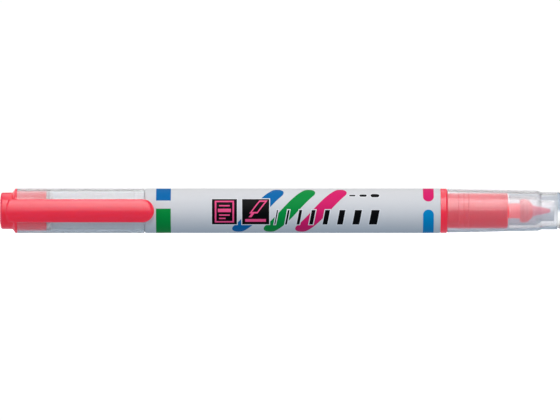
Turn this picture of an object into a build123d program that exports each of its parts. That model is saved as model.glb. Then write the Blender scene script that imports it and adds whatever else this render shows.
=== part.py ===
"""Twin-tip highlighter marker: fine tip at -X under a clip cap, chisel tip at +X under a plain cap.

Millimetres. X runs along the pen, from the fine tip to the chisel tip. The origin is on the pen's axis, at
the middle of the barrel. The pocket clip lies towards -Y, and +Z is up when the pen lies with its clip to
the front.
"""

from build123d import *
from math import radians, tan
import os

# Barrel, a plain tube with ribs inside that hold the ink reservoir
barrel_length = 77.1
barrel_radius = 5.8
barrel_wall = 0.95
barrel_front_round = 0.5
barrel_back_round = 0.15
rib_count = 6
rib_width = 0.6
rib_height = 0.42
rib_end_space = 0.8

# Clearances between pieces, each on the radius or along the axis
press_gap = 0.03
seat_gap = 0.05

# Ink reservoir, a fibre rod in a film wrap
wrap_thickness = 0.12
reservoir_end_space = 0.5
nib_seat_depth = 6.0

# Both tip holders are pressed into the barrel
plug_length = 7.5
plug_lead = 0.4

# Fine tip: white holder with a long section, a nozzle and a thin nib
fine_section_length = 24.2
fine_section_round = 0.5
fine_section_front_wall = 1.6
fine_section_wall = 1.5
fine_snap_offset = 2.4
fine_snap_height = 0.1
fine_snap_width = 1.0
nozzle_land_radius = 2.6
nozzle_land_length = 1.0
nozzle_cone_length = 3.8
nozzle_mouth_radius = 1.2
fine_nib_radius = 0.75
fine_nib_reach = 2.0
fine_nib_point_length = 1.0
fine_nib_point_radius = 0.35

# Fine cap: clear tube, plug with knob and flange, sealing cup, pocket clip
fine_tube_wall = 0.6
fine_section_gap = 0.2
tube_rim_round = 0.12
flange_thickness = 0.5
flange_cone_length = 0.75
flange_round = 0.2
knob_radius = 4.78
knob_length = 3.0
knob_round = 0.5
knob_dome = 0.6
knob_wall = 1.3
skirt_wall = 0.78
fine_cup_wall = 1.0
fine_cup_floor = 0.95
fine_cup_mouth_gap = 0.3
fine_cup_rim_length = 1.0
fine_cup_land_overrun = 1.5
fine_cup_end_space = 1.2
fine_cup_tail_space = 0.3

# Pocket clip, a half-round bar with a round tip and a bead that grips cloth against the cap
clip_gap = 1.1
clip_thickness = 1.7
clip_crown_radius = 4.9
clip_width = 6.02
clip_overhang = 2.6
clip_edge = 0.3
clip_tip_lift = 0.6
clip_bead_offset = 3.5
clip_bead_half_length = 2.6
clip_bead_clearance = 0.05
clip_root_length = 2.3
clip_root_bow = 0.86
clip_root_sink = 0.4
clip_root_inset = 0.1
clip_hinge_gap = 0.06

# Chisel tip: pink holder with collar, section, neck and seal, and a felt wedge nib
collar_length = 1.67
collar_chamfer = 0.3
chisel_section_length = 15.8
chisel_section_round = 0.4
chisel_section_gap = 0.1
chisel_snap_first = 3.1
chisel_snap_step = 1.3
chisel_snap_count = 3
chisel_snap_width = 0.5
chisel_snap_height = 0.16
neck_radius = 1.97
neck_length = 3.2
seal_length = 2.1
seal_gap = 0.1
seal_lip = 0.3
seal_nose_length = 1.1
seal_nose_wall = 0.3
chisel_nib_radius = 1.5
chisel_nib_reach = 4.7
chisel_nib_edge = 0.35
chisel_nib_slant = 20.0

# Chisel cap: clear shell with a long taper and a step at its end, and a sealing cup inside
chisel_mouth_inset = 0.11
chisel_taper = 0.47
chisel_step_length = 0.8
chisel_step = 0.34
chisel_wall = 0.7
chisel_end_wall = 1.0
chisel_end_round = 0.6
chisel_rim_round = 0.15
cup_bore_radius = 3.25
cup_bore_overrun = 2.15
cup_start_gap = 0.3
cup_shoulder_wall = 0.5
cup_shoulder_length = 1.0
cup_tail_bore_radius = 2.3
cup_nib_space = 1.0
cup_floor = 0.8

# Worked out from the values above, along X
barrel_front = -barrel_length / 2
barrel_back = barrel_length / 2
bore_radius = barrel_radius - barrel_wall
plug_radius = bore_radius - press_gap

fine_tube_bore = barrel_radius - fine_tube_wall
fine_section_radius = fine_tube_bore - fine_section_gap
fine_shoulder = barrel_front - fine_section_length
nozzle_land_end = fine_shoulder - nozzle_land_length
nozzle_tip = nozzle_land_end - nozzle_cone_length
fine_nib_tip = nozzle_tip - fine_nib_reach

fine_tube_mouth = barrel_front - seat_gap
flange_face = fine_nib_tip - fine_cup_end_space - fine_cup_floor - press_gap
flange_outer = flange_face - flange_thickness
knob_start = flange_outer - flange_cone_length
knob_end = knob_start - knob_length
skirt_radius = fine_tube_bore - press_gap
skirt_bore = skirt_radius - skirt_wall
fine_cup_mouth = fine_shoulder - fine_cup_mouth_gap
fine_cup_rim = fine_cup_mouth - fine_cup_rim_length
skirt_end = fine_cup_rim - press_gap
fine_cup_radius = skirt_bore - press_gap

reservoir_front = barrel_front + plug_length + reservoir_end_space
reservoir_back = barrel_back - plug_length - reservoir_end_space
wrap_radius = bore_radius - rib_height - press_gap
reservoir_radius = wrap_radius - wrap_thickness - press_gap

collar_face = barrel_back + seat_gap
collar_end = collar_face + collar_length
section_end = collar_end + chisel_section_length
neck_end = section_end + neck_length
seal_end = neck_end + seal_length
seal_radius = cup_bore_radius - seal_gap
chisel_holder_end = seal_end + seal_nose_length
chisel_nib_tip = chisel_holder_end + chisel_nib_reach

chisel_cap_mouth = collar_end + seat_gap
chisel_mouth_radius = barrel_radius - chisel_mouth_inset
cup_shoulder = seal_end + cup_bore_overrun
chisel_taper_end = cup_shoulder + cup_shoulder_wall
chisel_taper_radius = chisel_mouth_radius - chisel_taper
chisel_tail_start = chisel_taper_end + chisel_step_length
chisel_tail_radius = chisel_taper_radius - chisel_step
cup_tail_floor = chisel_nib_tip + cup_nib_space
cup_end = cup_tail_floor + cup_floor
chisel_cap_end = cup_end + press_gap + chisel_end_wall


def chisel_bore_at(x):
    """Inner radius of the chisel cap's tapered shell at x."""
    share = (x - chisel_cap_mouth) / (chisel_taper_end - chisel_cap_mouth)
    return chisel_mouth_radius - chisel_taper * share - chisel_wall


chisel_section_radius = chisel_bore_at(section_end) - chisel_section_gap

clip_inner = barrel_radius + clip_gap
clip_outer = clip_inner + clip_thickness
clip_half_width = clip_width / 2
clip_start = flange_outer
clip_root_end = clip_start - clip_root_length
clip_tip = barrel_front + clip_overhang


def turned(*outline):
    """Solid of revolution about the X axis. Each corner is (x, radius) or (x, radius, rounding)."""
    corners = [(x, r) for x, r, *_ in outline]
    rounds = [more[0] if more else 0 for _, _, *more in outline]
    edge = FilletPolyline(*corners, radius=rounds, close=True)
    return revolve(make_face(edge), Axis.X, 360)


def pipe(start, end, radius, bore):
    """Plain tube along X."""
    return turned((start, bore), (start, radius), (end, radius), (end, bore))


def rod(start, end, radius):
    """Plain rod along X."""
    return turned((start, 0), (start, radius), (end, radius), (end, 0))


def dome(base, radius, height):
    """Shallow round cap that stands out of the plane x = base towards -X."""
    ball = (radius**2 + height**2) / (2 * height)
    halfway = (ball**2 - (ball - height / 2) ** 2) ** 0.5
    arc = ThreePointArc((base, radius), (base - height / 2, halfway), (base - height, 0))
    axis_line = Line((base - height, 0), (base, 0))
    flat_side = Line((base, 0), (base, radius))
    return revolve(make_face([arc, axis_line, flat_side]), Axis.X, 360)


def barrel_tube():
    tube = turned(
        (barrel_front, bore_radius),
        (barrel_front, barrel_radius, barrel_front_round),
        (barrel_back, barrel_radius, barrel_back_round),
        (barrel_back, bore_radius),
    )
    start = barrel_front + plug_length + rib_end_space
    length = barrel_length - 2 * (plug_length + rib_end_space)
    height = rib_height + barrel_wall / 2
    middle = bore_radius - rib_height + height / 2
    rib = Pos(start + length / 2, 0, middle) * Box(length, rib_width, height)
    for k in range(rib_count):
        tube += Rot(360 / rib_count * k, 0, 0) * rib
    return tube


def reservoir_wrap():
    return pipe(reservoir_front, reservoir_back, wrap_radius, wrap_radius - wrap_thickness)


def ink_reservoir():
    core = rod(reservoir_front, reservoir_back, reservoir_radius)
    front_seat = reservoir_front + nib_seat_depth
    back_seat = reservoir_back - nib_seat_depth
    core -= rod(reservoir_front, front_seat + seat_gap, fine_nib_radius + press_gap)
    core -= rod(back_seat - seat_gap, reservoir_back, chisel_nib_radius + press_gap)
    return core


def fine_holder():
    rear = barrel_front + plug_length
    snap = barrel_front - fine_snap_offset
    body = turned(
        (rear, 0),
        (rear, plug_radius, plug_lead),
        (barrel_front - press_gap, plug_radius),
        (barrel_front - press_gap, fine_section_radius),
        (snap + fine_snap_width / 2, fine_section_radius),
        (snap, fine_section_radius + fine_snap_height),
        (snap - fine_snap_width / 2, fine_section_radius),
        (fine_shoulder, fine_section_radius, fine_section_round),
        (fine_shoulder, nozzle_land_radius),
        (nozzle_land_end, nozzle_land_radius),
        (nozzle_tip, nozzle_mouth_radius),
        (nozzle_tip, 0),
    )
    chamber_radius = fine_section_radius - fine_section_wall
    body -= rod(fine_shoulder + fine_section_front_wall, rear, chamber_radius)
    return body - rod(nozzle_tip, rear, fine_nib_radius + press_gap)


def fine_nib():
    tail = reservoir_front + nib_seat_depth
    point = fine_nib_tip + fine_nib_point_length
    return turned(
        (tail, 0),
        (tail, fine_nib_radius),
        (point, fine_nib_radius),
        (fine_nib_tip, fine_nib_point_radius, fine_nib_point_radius * 0.6),
        (fine_nib_tip, 0),
    )


def fine_cap_tube():
    start = flange_face + press_gap
    return turned(
        (start, fine_tube_bore),
        (start, barrel_radius),
        (fine_tube_mouth, barrel_radius, tube_rim_round),
        (fine_tube_mouth, fine_tube_bore, tube_rim_round),
    )


def raised(*plan):
    """Column over a plan outline, from the pen's axis out past the clip, towards -Y."""
    toward_clip = Plane(origin=(0, 0, 0), x_dir=(1, 0, 0), z_dir=(0, -1, 0))
    return extrude(toward_clip * make_face(plan), clip_outer + clip_thickness)


def crown(start, end, top):
    """Rod that gives the clip its round outer face. Its highest line is top away from the pen's axis."""
    return Pos(0, clip_crown_radius - top, 0) * rod(start, end, clip_crown_radius)


def clip_plug():
    knob_bore = fine_cup_radius - fine_cup_wall
    core = turned(
        (knob_end, 0),
        (knob_end, knob_radius, knob_round),
        (knob_start, knob_radius),
        (flange_outer, barrel_radius, flange_round),
        (flange_face, barrel_radius),
        (flange_face, skirt_radius),
        (skirt_end, skirt_radius),
        (skirt_end, skirt_bore),
        (flange_face, skirt_bore),
        (flange_face, knob_bore),
        (knob_end + knob_wall, knob_bore),
        (knob_end + knob_wall, 0),
    )
    core += dome(knob_end, knob_radius - knob_round, knob_dome)
    half = clip_half_width - clip_root_inset
    root_tip = clip_root_end + clip_root_inset
    bowed = root_tip + clip_root_bow
    root_start = clip_start - clip_hinge_gap
    root_plan = raised(
        Line((bowed, -half), (root_start, -half)),
        Line((root_start, -half), (root_start, half)),
        Line((root_start, half), (bowed, half)),
        ThreePointArc((bowed, half), (root_tip, 0), (bowed, -half)),
    )
    under_root = rod(clip_root_end, root_start, knob_radius - clip_root_sink)
    root_crown = crown(clip_root_end, root_start, clip_outer - clip_root_inset)
    return core + ((root_crown & root_plan) - under_root)


def pocket_clip():
    bead_middle = barrel_front - clip_bead_offset
    bead_start = bead_middle - clip_bead_half_length
    bead_end = bead_middle + clip_bead_half_length
    bead_inner = barrel_radius + clip_bead_clearance
    tip_inner = clip_inner + clip_tip_lift
    under = make_face(
        [
            Line((clip_start, 0), (clip_start, clip_inner)),
            Line((clip_start, clip_inner), (bead_start, clip_inner)),
            ThreePointArc((bead_start, clip_inner), (bead_middle, bead_inner), (bead_end, clip_inner)),
            Line((bead_end, clip_inner), (clip_tip, tip_inner)),
            Line((clip_tip, tip_inner), (clip_tip, 0)),
            Line((clip_tip, 0), (clip_start, 0)),
        ]
    )
    half = clip_half_width
    tip_centre = clip_tip - half
    bar_plan = raised(
        Line((clip_start, -half), (tip_centre, -half)),
        ThreePointArc((tip_centre, -half), (clip_tip, 0), (tip_centre, half)),
        Line((tip_centre, half), (clip_start, half)),
        Line((clip_start, half), (clip_start, -half)),
    )
    bar = (crown(clip_start, clip_tip, clip_outer) & bar_plan) - revolve(under, Axis.X, 360)
    outer_face = bar.faces().filter_by(GeomType.CYLINDER).sort_by(SortBy.AREA)[-1]
    rim = outer_face.edges().filter_by(lambda edge: edge.center().X > clip_start + clip_edge)
    return chamfer(rim, clip_edge)


def fine_inner_cap():
    floor = flange_face + press_gap
    land = nozzle_land_radius + press_gap
    tail = fine_nib_tip - fine_cup_end_space
    return turned(
        (floor, 0),
        (floor, fine_cup_radius, plug_lead),
        (fine_cup_rim, fine_cup_radius),
        (fine_cup_rim, skirt_radius),
        (fine_cup_mouth, skirt_radius),
        (fine_cup_mouth, land),
        (nozzle_land_end - fine_cup_land_overrun, land),
        (tail, nozzle_mouth_radius + fine_cup_tail_space),
        (tail, 0),
    )


def chisel_holder():
    rear = barrel_back - plug_length
    ridge = chisel_section_radius + chisel_snap_height
    half = chisel_snap_width / 2
    snaps = []
    for k in range(chisel_snap_count):
        middle = collar_end + chisel_snap_first + chisel_snap_step * k
        snaps.append((middle - half, chisel_section_radius))
        snaps.append((middle, ridge))
        snaps.append((middle + half, chisel_section_radius))
    body = turned(
        (rear, 0),
        (rear, plug_radius, plug_lead),
        (collar_face, plug_radius),
        (collar_face, barrel_radius),
        (collar_end, barrel_radius, collar_chamfer),
        (collar_end, chisel_section_radius),
        *snaps,
        (section_end, chisel_section_radius, chisel_section_round),
        (section_end, neck_radius),
        (neck_end, neck_radius),
        (neck_end, seal_radius - seal_lip, seal_lip / 2),
        (neck_end + seal_length / 2, seal_radius),
        (seal_end, seal_radius - seal_lip),
        (chisel_holder_end, chisel_nib_radius + seal_nose_wall),
        (chisel_holder_end, 0),
    )
    return body - rod(rear, chisel_holder_end, chisel_nib_radius + press_gap)


def chisel_nib():
    tail = reservoir_back - nib_seat_depth
    wide = chisel_nib_radius
    slant = 2 * wide * tan(radians(chisel_nib_slant))
    side_view = make_face(
        Polyline(
            (tail, -wide),
            (chisel_holder_end, -wide),
            (chisel_nib_tip, -chisel_nib_edge),
            (chisel_nib_tip, chisel_nib_edge),
            (chisel_holder_end, wide),
            (tail, wide),
            close=True,
        )
    )
    top_view = make_face(
        Polyline(
            (tail, -wide),
            (chisel_nib_tip, -wide),
            (chisel_nib_tip - slant, wide),
            (tail, wide),
            close=True,
        )
    )
    shank = rod(tail, chisel_nib_tip, wide)
    return shank & extrude(Plane.XZ * side_view, wide, both=True) & extrude(top_view, wide, both=True)


def chisel_cap_shell():
    tail_bore = chisel_tail_radius - chisel_wall
    return turned(
        (chisel_cap_mouth, chisel_bore_at(chisel_cap_mouth), chisel_rim_round),
        (chisel_cap_mouth, chisel_mouth_radius, chisel_rim_round),
        (chisel_taper_end, chisel_taper_radius),
        (chisel_tail_start, chisel_tail_radius),
        (chisel_cap_end, chisel_tail_radius, chisel_end_round),
        (chisel_cap_end, 0),
        (chisel_cap_end - chisel_end_wall, 0),
        (chisel_cap_end - chisel_end_wall, tail_bore),
        (chisel_tail_start, tail_bore),
        (chisel_taper_end, chisel_bore_at(chisel_taper_end)),
    )


def chisel_inner_cap():
    start = section_end + cup_start_gap
    front_radius = chisel_bore_at(start) - press_gap
    shoulder_radius = chisel_bore_at(chisel_taper_end) - press_gap
    tail_radius = chisel_tail_radius - chisel_wall - press_gap
    return turned(
        (start, cup_bore_radius),
        (start, front_radius),
        (chisel_taper_end - press_gap, shoulder_radius),
        (chisel_tail_start - press_gap, tail_radius),
        (cup_end, tail_radius),
        (cup_end, 0),
        (cup_tail_floor, 0),
        (cup_tail_floor, cup_tail_bore_radius),
        (cup_shoulder + cup_shoulder_length, cup_tail_bore_radius),
        (cup_shoulder, cup_bore_radius),
    )


nodes = [
    barrel_tube,
    reservoir_wrap,
    ink_reservoir,
    fine_holder,
    fine_nib,
    fine_cap_tube,
    clip_plug,
    fine_inner_cap,
    pocket_clip,
    chisel_holder,
    chisel_nib,
    chisel_cap_shell,
    chisel_inner_cap,
]

os.makedirs("parts", exist_ok=True)
for node in nodes:
    export_step(node(), f"parts/{node.__name__}.step")
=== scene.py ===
"""Twin-tip highlighter: the looks of every piece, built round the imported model, with its studio and camera.

Metres. X runs along the pen, from the fine tip under the clip cap to the chisel tip. The pen lies with
its clip towards -Y, and +Z is up. Sizes named _mm are in millimetres.
"""

import math

import bpy
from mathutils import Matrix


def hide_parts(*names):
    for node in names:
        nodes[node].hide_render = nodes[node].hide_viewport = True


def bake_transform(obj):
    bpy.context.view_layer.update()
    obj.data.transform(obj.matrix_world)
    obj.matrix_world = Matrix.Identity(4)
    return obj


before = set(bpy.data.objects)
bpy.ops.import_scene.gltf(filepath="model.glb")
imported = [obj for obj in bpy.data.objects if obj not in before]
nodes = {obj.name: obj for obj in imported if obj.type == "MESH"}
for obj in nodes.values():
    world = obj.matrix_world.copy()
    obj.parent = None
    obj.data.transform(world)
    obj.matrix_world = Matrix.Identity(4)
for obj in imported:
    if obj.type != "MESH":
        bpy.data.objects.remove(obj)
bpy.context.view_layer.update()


# ---- Barrel --------------------------------------------------------------------------------------------
# An extruded tube of white polypropylene with a pearl pigment, so it looks light grey and softly glossy.
# The pad print goes round it: three-colour bands near both ends, and pen strokes, signs and a row of black
# line widths on the front. The print is thin ink, a little smoother than the plastic.
class Value:
    """A socket of a finish. An expression on values and numbers adds the Math nodes that work it out."""

    def __init__(self, finish, socket):
        self.finish = finish
        self.socket = socket

    def maths(self, operation, *terms, clamp=False):
        settings = {"operation": operation, "use_clamp": clamp}
        return self.finish.node("ShaderNodeMath", settings, dict(enumerate(terms)))

    def __add__(self, other):
        return self.maths("ADD", self, other)

    def __radd__(self, other):
        return self.maths("ADD", other, self)

    def __sub__(self, other):
        return self.maths("SUBTRACT", self, other)

    def __rsub__(self, other):
        return self.maths("SUBTRACT", other, self)

    def __mul__(self, other):
        return self.maths("MULTIPLY", self, other)

    def __rmul__(self, other):
        return self.maths("MULTIPLY", other, self)

    def __truediv__(self, other):
        return self.maths("DIVIDE", self, other)

    def __pow__(self, other):
        return self.maths("POWER", self, other)

    def __abs__(self):
        return self.maths("ABSOLUTE", self)

    def least(self, other):
        return self.maths("MINIMUM", self, other)

    def most(self, other):
        return self.maths("MAXIMUM", self, other)

    def held(self):
        """The same value, kept from 0 to 1."""
        return self.maths("ADD", self, 0.0, clamp=True)

    def output(self, name):
        """Another output of the same node."""
        return Value(self.finish, self.socket.node.outputs[name])


class Shading:
    """The nodes of a material or of the surround."""

    def __init__(self, tree):
        self.tree = tree

    def feed(self, node, inputs):
        """Sets a node's sockets: a Value is linked, and anything else is the socket's own value."""
        for name, value in inputs.items():
            if isinstance(value, Value):
                self.tree.links.new(value.socket, node.inputs[name])
            else:
                node.inputs[name].default_value = value

    def node(self, kind, settings=None, inputs=None, output=0):
        """Adds a node: its settings first, with a ramp's stops among them, and then its sockets."""
        made = self.tree.nodes.new(kind)
        for name, value in (settings or {}).items():
            if name == "stops":
                for _ in range(len(value) - 2):
                    made.color_ramp.elements.new(0.5)
                for element, (position, colour) in zip(made.color_ramp.elements, value):
                    element.position = position
                    element.color = colour
            else:
                setattr(made, name, value)
        self.feed(made, inputs or {})
        return Value(self, made.outputs[output]) if output is not None else None

    def mixed(self, share, under, over):
        """The colour under where share is 0, and over where it is 1."""
        inputs = {0: share, 6: under, 7: over}
        return self.node("ShaderNodeMix", {"data_type": "RGBA"}, inputs, output=2)


class Finish(Shading):
    """One material, which ends in one Principled shader."""

    def __init__(self, name, **shader_values):
        self.material = bpy.data.materials.new(name)
        self.material.use_nodes = True
        super().__init__(self.material.node_tree)
        self.shader = self.tree.nodes["Principled BSDF"]
        self.surface(**shader_values)

    def surface(self, **inputs):
        """Feeds the Principled shader, with _ for the spaces in its sockets' names."""
        self.feed(self.shader, {key.replace("_", " "): value for key, value in inputs.items()})

    def place(self):
        """The object coordinates, in metres, as a vector."""
        return self.node("ShaderNodeTexCoord", output="Object")

    def noise(self, size_mm, detail=2.0, stretch=(1.0, 1.0, 1.0)):
        """Noise from 0 to 1 with grains of about size_mm, longer along an axis stretched by more than 1."""
        scale = [1000.0 / size_mm / s for s in stretch]
        place = self.node("ShaderNodeMapping", inputs={"Vector": self.place(), "Scale": scale})
        return self.node("ShaderNodeTexNoise", inputs={"Vector": place, "Scale": 1.0, "Detail": detail})

    def bump(self, height, depth_mm):
        """A normal for a height from 0 to 1 that stands for depth_mm."""
        return self.node("ShaderNodeBump", inputs={"Height": height, "Distance": depth_mm / 1000})


def colour(red, green, blue):
    """A colour from 0-255 display values, as the linear one that shaders take."""
    linear = []
    for value in (red, green, blue):
        share = value / 255
        linear.append(share / 12.92 if share <= 0.04045 else ((share + 0.055) / 1.055) ** 2.4)
    return (*linear, 1.0)


def wear(finish, *names):
    """Gives these CAD nodes the finish."""
    for name in names:
        slots = nodes[name].data.materials
        for index in range(len(slots)):
            slots[index] = finish.material


barrel_radius_mm = 5.8
mould_texture_mm = 0.004
ink_edge_mm = 0.05
white_rim_mm = 0.22
pearl_light = colour(219, 220, 222)
pearl_dark = colour(211, 212, 215)
ink_blue = colour(0, 104, 170)
ink_green = colour(0, 142, 62)
ink_magenta = colour(218, 28, 106)
ink_cyan = colour(0, 138, 200)
ink_white = colour(232, 232, 234)
ink_pink = colour(246, 84, 140)
ink_black = colour(6, 6, 8)

pearl = Finish("barrel_pearl", IOR=1.49, Specular_IOR_Level=0.06)
xyz = pearl.node("ShaderNodeSeparateXYZ", inputs={0: pearl.place()})
along = xyz * 1000
front = xyz.output("Y") * -1
around = xyz.maths("ARCTAN2", xyz.output("Z"), front) * barrel_radius_mm


def printed(distance):
    """Where a shape's ink lies: 1 inside it, 0 outside, with a soft edge."""
    return (0.5 - distance / ink_edge_mm).held()


def block(left, right, low, high, corner=0.0):
    """The distance in mm from a rectangle of the print, negative inside it."""
    across = abs(along - (left + right) / 2) - ((right - left) / 2 - corner)
    up = abs(around - (low + high) / 2) - ((high - low) / 2 - corner)
    if not corner:
        return across.most(up)
    return (across.most(0.0) ** 2 + up.most(0.0) ** 2) ** 0.5 - corner


def stroke(start, end, breadth):
    """The distance in mm from a straight pen stroke with round ends."""
    run, rise = end[0] - start[0], end[1] - start[1]
    reach = run * run + rise * rise
    ahead = along - start[0]
    above = around - start[1]
    share = (ahead * (run / reach) + above * (rise / reach)).held()
    gap = ((ahead - share * run) ** 2 + (above - share * rise) ** 2) ** 0.5
    return gap - breadth / 2


def slanted(middle, breadth, low, high, lean):
    """The distance in mm from an upright bar that leans by lean mm per mm of height."""
    sideways = abs(along - middle - (around - (low + high) / 2) * lean) - breadth / 2
    return sideways.most(abs(around - (low + high) / 2) - (high - low) / 2)


def joined(distances):
    """The distance from several shapes taken as one."""
    nearest = distances[0]
    for distance in distances[1:]:
        nearest = nearest.least(distance)
    return nearest


mica = pearl.noise(0.16, 3.0)
flow = pearl.noise(1.4, 2.0, stretch=(9.0, 1.0, 1.0))
paint = pearl.mixed(mica * 0.5 + flow * 0.5, pearl_dark, pearl_light)

girth_mm = 2 * math.pi * barrel_radius_mm
band_gap_mm = 2.2
band_height_mm = girth_mm / 3 - band_gap_mm
fine_band, fine_band_low = (-35.5, -31.65), 2.76
chisel_band, chisel_band_low = (33.95, 36.75), 2.5
band_corner_mm = 1.38


def with_bands(paint, ends, first_low, corner, inks):
    """The paint with three blocks of colour round it between two places, the first upwards from first_low."""
    for place, ink in enumerate(inks):
        low = first_low + place * (band_height_mm + band_gap_mm)
        for turn in (-1, 0, 1):
            shift = turn * girth_mm
            if low + shift < girth_mm / 2 and low + shift + band_height_mm > -girth_mm / 2:
                distance = block(*ends, low + shift, low + shift + band_height_mm, corner)
                paint = pearl.mixed(printed(distance), paint, ink)
    return paint


paint = with_bands(paint, fine_band, fine_band_low, 0.0, (ink_blue, ink_magenta, ink_green))
chisel_inks = (ink_magenta, ink_green, ink_cyan)
paint = with_bands(paint, chisel_band, chisel_band_low, band_corner_mm, chisel_inks)

# Three straight strokes side by side, all of one breadth and one lean.
stroke_left, stroke_step = -14.0, 8.2
stroke_run, stroke_half_rise = 10.0, 5.4
stroke_breadth = 3.4
for place, ink in enumerate((ink_blue, ink_green, ink_magenta)):
    left = stroke_left + place * stroke_step
    line = stroke((left, -stroke_half_rise), (left + stroke_run, stroke_half_rise), stroke_breadth)
    paint = pearl.mixed(printed(line), paint, ink)

# Two signs on black squares, in pink lines: a page with one line marked, and a pen that draws a line.
line_mm = 0.42
sign_low, sign_high = -3.8, 3.2
signs = [block(-20.95, -14.45, sign_low, sign_high), block(-13.1, -6.05, sign_low, sign_high)]
marked_page = joined([
    abs(block(-20.0, -15.4, -3.0, 2.5)) - line_mm / 2,
    block(-19.1, -16.3, 1.15, 1.5),
    block(-19.4, -16.0, -0.35, 0.55),
    block(-19.1, -16.3, -1.3, -0.95),
    block(-19.1, -17.4, -2.2, -1.85),
])
drawing_pen = joined([
    abs(slanted(-8.85, 1.75, -0.5, 2.6, 0.75)) - line_mm / 2,
    slanted(-10.6, 0.75, -1.7, -0.5, 0.75),
    block(-12.3, -6.9, -3.0, -2.2),
])

# Eight leaning bars, from the fine tip's line to a broad one, and three dashes.
bar_low, bar_high, bar_lean = -3.85, 0.2, 0.18
bar_breadths = (0.3, 0.5, 0.75, 1.0, 1.25, 1.5, 1.8, 2.1)
bar_start, bar_end = -4.4, 22.3
bar_gap = (bar_end - bar_start - sum(bar_breadths)) / (len(bar_breadths) - 1)
bars, bar_left = [], bar_start
for bar_breadth in bar_breadths:
    bars.append(slanted(bar_left + bar_breadth / 2, bar_breadth, bar_low, bar_high, bar_lean))
    bar_left += bar_breadth + bar_gap
dash_height, dash_length = 4.35, 1.1
dashes = [
    stroke((left, dash_height), (left + dash_length, dash_height), breadth)
    for left, breadth in ((15.0, 0.5), (17.8, 0.8), (20.9, 1.15))
]

black = joined(signs + bars + dashes)
paint = pearl.mixed(printed(black - white_rim_mm), paint, ink_white)
paint = pearl.mixed(printed(black), paint, ink_black)
paint = pearl.mixed(printed(marked_page.least(drawing_pen)), paint, ink_pink)

pearl_roughness = 0.4 + flow * 0.08 + mica * 0.04
pearl.surface(
    Base_Color=paint,
    Roughness=pearl_roughness - printed(black) * 0.06,
    Normal=pearl.bump(mica * 0.6 + flow * 0.4, mould_texture_mm),
)
wear(pearl, "barrel_tube")


# ---- Ink reservoir -------------------------------------------------------------------------------------
# A rod of bundled polyester fibre, soaked with pink ink, in a thin clear film that is wound round it. Both
# are pushed into the barrel before the tips, and both nibs draw from them.
fibre_light = colour(250, 120, 150)
fibre_dark = colour(214, 52, 92)
film_white = colour(233, 226, 229)

fibre = Finish("ink_fibre", Sheen_Weight=0.3, IOR=1.4)
strands = fibre.noise(0.12, 3.0, stretch=(40.0, 1.0, 1.0))
fibre.surface(
    Base_Color=fibre.mixed(strands, fibre_dark, fibre_light),
    Roughness=0.75 + strands * 0.2,
    Normal=fibre.bump(strands, 0.03),
)
wear(fibre, "ink_reservoir")

film = Finish("wrap_film", IOR=1.5)
creases = film.noise(1.2, 3.0, stretch=(6.0, 1.0, 1.0))
film.surface(
    Base_Color=film.mixed(creases * 0.4, film_white, fibre_light),
    Roughness=0.18 + creases * 0.15,
    Normal=film.bump(creases, 0.02),
)
wear(film, "reservoir_wrap")


# ---- Fine tip ------------------------------------------------------------------------------------------
# An injection-moulded holder of white polypropylene, pressed into the barrel, with a nozzle that carries a
# thin rod of hard fibre. The rod is stained by the ink that it draws.
white_light = colour(236, 236, 239)
white_dark = colour(228, 229, 233)
# Painted light: a faint even glow lifts the white holder, and the chisel cap's seal cup, where shade falls on
# them.
painted_white_glow = colour(232, 240, 250)
painted_white_glow_strength = 0.11
nib_light = colour(255, 132, 160)
nib_dark = colour(242, 84, 122)
# Painted light: both nibs glow evenly in pink, which brightens them in shade, as if lit.
painted_nib_glow = colour(255, 60, 100)
painted_nib_glow_strength = 0.3

white = Finish(
    "holder_white",
    IOR=1.49,
    Subsurface_Weight=0.1,
    Subsurface_Scale=0.0005,
    Emission_Color=painted_white_glow,
    Emission_Strength=painted_white_glow_strength,
)
moulded = white.noise(0.5, 3.0)
white.surface(
    Base_Color=white.mixed(moulded, white_dark, white_light),
    Roughness=0.36 + moulded * 0.1,
    Normal=white.bump(moulded, mould_texture_mm),
)
wear(white, "fine_holder")

felt = Finish(
    "nib_felt",
    Sheen_Weight=0.4,
    Sheen_Roughness=0.6,
    IOR=1.4,
    Emission_Color=painted_nib_glow,
    Emission_Strength=painted_nib_glow_strength,
)
grain = felt.noise(0.09, 4.0, stretch=(7.0, 1.0, 1.0))
stain = felt.noise(1.1, 2.0)
felt.surface(
    Base_Color=felt.mixed(grain * 0.7 + stain * 0.3, nib_dark, nib_light),
    Roughness=0.7 + grain * 0.25,
    Normal=felt.bump(grain, 0.03),
)
wear(felt, "fine_nib", "chisel_nib")


# ---- Fine cap ------------------------------------------------------------------------------------------
# A clear tube of polypropylene, slightly milky, with a pink plug pressed and welded into its end. The plug
# carries the knob, and a soft cup inside it seals the nib. All three are injection moulded.
clear_tint = (0.985, 0.99, 0.995, 1.0)
cup_tint = (0.97, 0.975, 0.985, 1.0)
pink_deep = colour(190, 28, 58)
pink_light = colour(198, 42, 72)
# Painted light: the pink plug, clip and holder glow evenly, which keeps their shaded sides bright, as if lit.
painted_pink_glow = colour(255, 24, 52)
painted_cap_glow_strength = 0.31
flow_line_mm = 0.0002


def clear_plastic(name, tint, clearness, roughness, bending):
    """A clear moulded plastic with faint flow lines. What isn't let through makes it milky."""
    made = Finish(name, Base_Color=tint, Transmission_Weight=clearness, IOR=bending)
    lines = made.noise(2.5, 1.0, stretch=(12.0, 1.0, 1.0))
    made.surface(Roughness=roughness + lines * 0.03, Normal=made.bump(lines, flow_line_mm))
    return made


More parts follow.
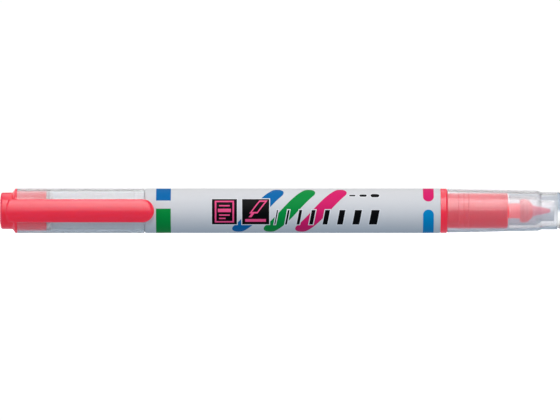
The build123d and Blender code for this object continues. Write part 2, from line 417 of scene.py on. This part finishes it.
def pink_plastic(name, painted_glow_strength):
    """Pink moulded plastic that lets a little light in, with the faint texture of its mould, and an even glow
    of painted light that keeps its shaded side bright.
    """
    made = Finish(
        name,
        IOR=1.49,
        Specular_IOR_Level=0.6,
        Subsurface_Weight=1.0,
        Subsurface_Scale=0.001,
        Subsurface_Radius=(5.0, 0.25, 0.3),
        Emission_Color=painted_pink_glow,
        Emission_Strength=painted_glow_strength,
    )
    lines = made.noise(0.9, 3.0, stretch=(6.0, 1.0, 1.0))
    pores = made.noise(0.12, 2.0)
    made.surface(
        Base_Color=made.mixed(lines * 0.7 + pores * 0.3, pink_deep, pink_light),
        Roughness=0.16 + lines * 0.08,
        Normal=made.bump(lines * 0.7 + pores * 0.3, mould_texture_mm),
    )
    return made


clear = clear_plastic("clear_plastic", clear_tint, 0.88, 0.12, 1.38)
wear(clear, "fine_cap_tube")
cup = clear_plastic("cup_plastic", cup_tint, 0.6, 0.14, 1.3)
wear(cup, "fine_inner_cap")
plug_pink = pink_plastic("plug_pink", painted_cap_glow_strength)
wear(plug_pink, "clip_plug")


# ---- Pocket clip ---------------------------------------------------------------------------------------
# A half-round bar of the plug's pink plastic, moulded in one with it. Its root stands on the knob and the
# flange, its tip is a half circle that rises a little, and a bead under it grips the cloth of a pocket.
clip_half_mm = 3.01
clip_tip_mm = -35.95
clip_root_mm = -74.53
clip_bow_mm = 0.86
clip_top_mm = 8.6
clip_crown_mm = 4.9
clip_edge_mm = 0.32
clip_lower_edge_mm = 0.14
clip_under_mm = 6.9
root_under_mm = 4.35
root_rise_mm = (-72.29, -71.75)
bead_middle_mm = -42.05
bead_half_mm = 2.6
bead_under_mm = 5.85
tip_lift_mm = 0.6
tip_slope_mm = 1.1
tip_drop_mm = 0.55
clip_columns = 28
clip_rows = 150
edge_steps = 5


def clip_plan(share, across, inset):
    """A point of the bar's plan in mm: share runs from its root to its tip, across from -1 to 1."""
    half = clip_half_mm - inset
    side = half * math.sin(across * math.pi / 2)
    tip_centre = clip_tip_mm - clip_half_mm
    tip = tip_centre + math.sqrt(max(half * half - side * side, 0.0))
    root = clip_root_mm + inset + clip_bow_mm * (side / half) ** 2
    eased = share - math.sin(2 * math.pi * share) * 0.08
    return root + (tip - root) * eased, side


def clip_outside(x, side):
    """How far the bar's outer face stands from the pen's axis: crowned across, and sloping off at the tip."""
    ahead = max(x - (clip_tip_mm - clip_half_mm), 0.0)
    from_rim = clip_half_mm - math.hypot(ahead, side)
    slope = max(1 - from_rim / tip_slope_mm, 0.0) if ahead > 0 else 0.0
    drop = tip_drop_mm * slope**2 * (ahead / clip_half_mm) ** 0.7
    return clip_top_mm - clip_crown_mm + math.sqrt(clip_crown_mm**2 - side**2) - drop


def clip_inside(x, side):
    """How far the bar's inner face stands from the axis: on the knob, over the tube, bead and rising tip."""
    rise = min(max((x - root_rise_mm[0]) / (root_rise_mm[1] - root_rise_mm[0]), 0.0), 1.0)
    radius = root_under_mm + (clip_under_mm - root_under_mm) * rise * rise * (3 - 2 * rise)
    from_bead = abs(x - bead_middle_mm) / bead_half_mm
    if from_bead < 1:
        radius -= (clip_under_mm - bead_under_mm) * (1 - from_bead**2) ** 1.3
    bead_end = bead_middle_mm + bead_half_mm
    if x > bead_end:
        radius += tip_lift_mm * ((x - bead_end) / (clip_tip_mm - bead_end)) ** 1.2
    return math.sqrt(radius**2 - side**2)


def clip_mesh():
    """Two skins, outer and inner, joined round the rim by rounded edges and a straight side."""
    points, faces = [], []

    def add_point(x, side, height):
        points.append((x / 1000, -height / 1000, side / 1000))
        return len(points) - 1

    columns = [2 * i / clip_columns - 1 for i in range(clip_columns + 1)]
    rows = [i / clip_rows for i in range(clip_rows + 1)]

    def skin(inset, height_of):
        return [[add_point(*(p := clip_plan(s, t, inset)), height_of(*p)) for t in columns] for s in rows]

    outer = skin(clip_edge_mm, clip_outside)
    inner = skin(clip_lower_edge_mm, clip_inside)
    for grid, turned in ((outer, False), (inner, True)):
        for a, b in zip(grid, grid[1:]):
            for k in range(clip_columns):
                face = (a[k], b[k], b[k + 1], a[k + 1])
                faces.append(face[::-1] if turned else face)

    rim = [(s, -1.0) for s in rows]
    rim += [(1.0, t) for t in columns[1:]]
    rim += [(s, 1.0) for s in reversed(rows[:-1])]
    rim += [(0.0, t) for t in reversed(columns[1:-1])]

    def rim_of(grid):
        loop = [row[0] for row in grid] + grid[-1][1:]
        return loop + [row[-1] for row in reversed(grid[:-1])] + grid[0][-2:0:-1]

    loops = [rim_of(outer)]
    for step in range(1, edge_steps + 1):
        turn = step / edge_steps * math.pi / 2
        inset = clip_edge_mm * (1 - math.sin(turn))
        drop = clip_edge_mm * (1 - math.cos(turn))
        loop = []
        for s, t in rim:
            x, side = clip_plan(s, t, inset)
            loop.append(add_point(x, side, clip_outside(x, side) - drop))
        loops.append(loop)
    for step in range(edge_steps - 1, -1, -1):
        turn = (step + 1) / edge_steps * math.pi / 2
        inset = clip_lower_edge_mm * (1 - math.sin(turn))
        climb = clip_lower_edge_mm * (1 - math.cos(turn))
        loop = []
        for s, t in rim:
            x, side = clip_plan(s, t, inset)
            loop.append(add_point(x, side, clip_inside(x, side) + climb))
        loops.append(loop)
    loops.append(rim_of(inner))
    for upper, lower in zip(loops, loops[1:]):
        for k in range(len(upper)):
            after = (k + 1) % len(upper)
            faces.append((upper[k], lower[k], lower[after], upper[after]))
    return points, faces


clip_data = bpy.data.meshes.new("pocket_clip_bar")
clip_points, clip_faces = clip_mesh()
clip_data.from_pydata(clip_points, [], clip_faces)
clip_data.validate()
clip_data.shade_smooth()
clip_bar = bpy.data.objects.new("pocket_clip_bar", clip_data)
bpy.context.scene.collection.objects.link(clip_bar)
even_normals = clip_bar.modifiers.new("even_normals", "WEIGHTED_NORMAL")
even_normals.keep_sharp = True
clip_pink = pink_plastic("clip_pink", painted_cap_glow_strength)
clip_data.materials.append(clip_pink.material)
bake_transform(clip_bar)
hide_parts("pocket_clip")


# ---- Chisel tip ----------------------------------------------------------------------------------------
# A pink moulded holder, pressed into the barrel up to its collar, with three snap rings, a neck and a seal
# disc. It carries the felt wedge, which wears the same felt as the fine tip.
# Painted light: the holder's even glow, a little stronger than the cap's, lifts it in shade.
painted_holder_glow_strength = 0.36
holder_pink = pink_plastic("holder_pink", painted_holder_glow_strength)
wear(holder_pink, "chisel_holder")


# ---- Chisel cap ----------------------------------------------------------------------------------------
# A clear tapered shell of the same milky plastic as the other cap, with a step near its end, and a thick
# clear cup inside it that seals round the holder's disc.
shell = clear_plastic("shell_plastic", clear_tint, 0.94, 0.12, 1.38)
wear(shell, "chisel_cap_shell")
# Painted light: a faint even white glow that lightens the seal cup where it lies in shade.
painted_seal_glow_strength = 0.028
seal = clear_plastic("seal_plastic", cup_tint, 0.84, 0.16, 1.18)
seal.surface(Emission_Color=painted_white_glow, Emission_Strength=painted_seal_glow_strength)
wear(seal, "chisel_inner_cap")


# ---- Studio --------------------------------------------------------------------------------------------
# A pale floor just under the pen, with a glow that keeps it white, and a soft surround, bluer from below.
# Five soft boxes stand in an arc from behind the pen to low in front, the strongest two in front of it.
floor_level = -0.00585
floor_size = 30.0
floor_white = (0.93, 0.93, 0.935, 1.0)
floor_glow_strength = 0.72
pen_middle = (-0.00325, 0.0, 0.0002)
view_width = 0.146
camera_lens = 500
camera_sensor = 36

floor_data = bpy.data.meshes.new("floor")
half_floor = floor_size / 2
floor_data.from_pydata(
    [(x * half_floor, y * half_floor, floor_level) for x, y in ((-1, -1), (1, -1), (1, 1), (-1, 1))],
    [],
    [(0, 1, 2, 3)],
)
floor = bpy.data.objects.new("floor", floor_data)
bpy.context.scene.collection.objects.link(floor)
paper = Finish(
    "floor_paper",
    Base_Color=floor_white,
    Roughness=0.9,
    Emission_Color=floor_white,
    Emission_Strength=floor_glow_strength,
)
floor_data.materials.append(paper.material)
floor.visible_diffuse = False
floor.visible_glossy = False
floor.visible_transmission = False

box_distance = 0.6
box_length = 0.24
box_power = 4


def soft_box(name, low, high, brightness):
    """A lamp facing the pen, between two elevations in degrees, where 0 is level in front and 90 is above."""
    middle = math.radians((low + high) / 2)
    height = 2 * box_distance * math.tan(math.radians((high - low) / 2))
    lamp = bpy.data.lights.new(name, "AREA")
    lamp.shape = "RECTANGLE"
    lamp.size = box_length
    lamp.size_y = height
    lamp.energy = brightness * box_power * box_length * height
    box = bpy.data.objects.new(name, lamp)
    box.location = (pen_middle[0], -box_distance * math.cos(middle), box_distance * math.sin(middle))
    box.rotation_euler = (math.pi / 2 - middle, 0, 0)
    box.visible_camera = False
    bpy.context.scene.collection.objects.link(box)


soft_box("back_box", 100, 130, 1.35)
soft_box("top_box", 71, 100, 1.3)
soft_box("high_box", 44, 71, 4.3)
soft_box("middle_box", 22, 44, 3.2)
soft_box("low_box", 2, 22, 1.25)

surround = bpy.data.worlds.new("surround")
surround.use_nodes = True
bpy.context.scene.world = surround
surround.node_tree.nodes.clear()
air = Shading(surround.node_tree)
direction = air.node("ShaderNodeTexCoord", output="Generated")
height = air.node("ShaderNodeSeparateXYZ", inputs={0: direction}, output="Z")
below = (0.33, 0.41, 0.50, 1.0)
level = (0.86, 0.85, 0.88, 1.0)
above = (0.16, 0.16, 0.165, 1.0)
far_brightness = 0.38
backdrop_brightness = 1.02
plain_white = (1.0, 1.0, 1.0, 1.0)
shades = air.node(
    "ShaderNodeValToRGB", {"stops": [(0.46, below), (0.56, level), (0.8, above)]}, {0: height * 0.5 + 0.5}
)

# Extra light from the sides and behind: none from in front, a fifth of it below level, none from high up.
behind = ((height.output("Y") + 0.5) / 0.7).held()
over_level = ((height + 0.05) / 0.1).held() * 0.8 + 0.2
not_high = 1 - ((height - 0.45) / 0.3).held()
far_side = behind * over_level * not_high
light = air.node("ShaderNodeBackground", inputs={"Color": shades})
far_inputs = {"Color": plain_white, "Strength": far_side * far_brightness}
far_light = air.node("ShaderNodeBackground", inputs=far_inputs)
both = air.node("ShaderNodeAddShader", inputs={0: light, 1: far_light})
backdrop_inputs = {"Color": plain_white, "Strength": backdrop_brightness}
backdrop = air.node("ShaderNodeBackground", inputs=backdrop_inputs)
seen = air.node("ShaderNodeLightPath", output="Is Camera Ray")
picture = air.node("ShaderNodeMixShader", inputs={0: seen, 1: both, 2: backdrop})
air.node("ShaderNodeOutputWorld", inputs={0: picture}, output=None)

camera_data = bpy.data.cameras.new("camera")
camera_data.lens = camera_lens
camera_data.sensor_width = camera_sensor
camera_data.clip_start = 0.01
camera_data.clip_end = 50
camera = bpy.data.objects.new("camera", camera_data)
camera.location = (pen_middle[0], -view_width * camera_lens / camera_sensor, pen_middle[2])
camera.rotation_euler = (math.pi / 2, 0, 0)
bpy.context.scene.collection.objects.link(camera)
bpy.context.scene.camera = camera
bpy.context.scene.view_settings.view_transform = "Standard"
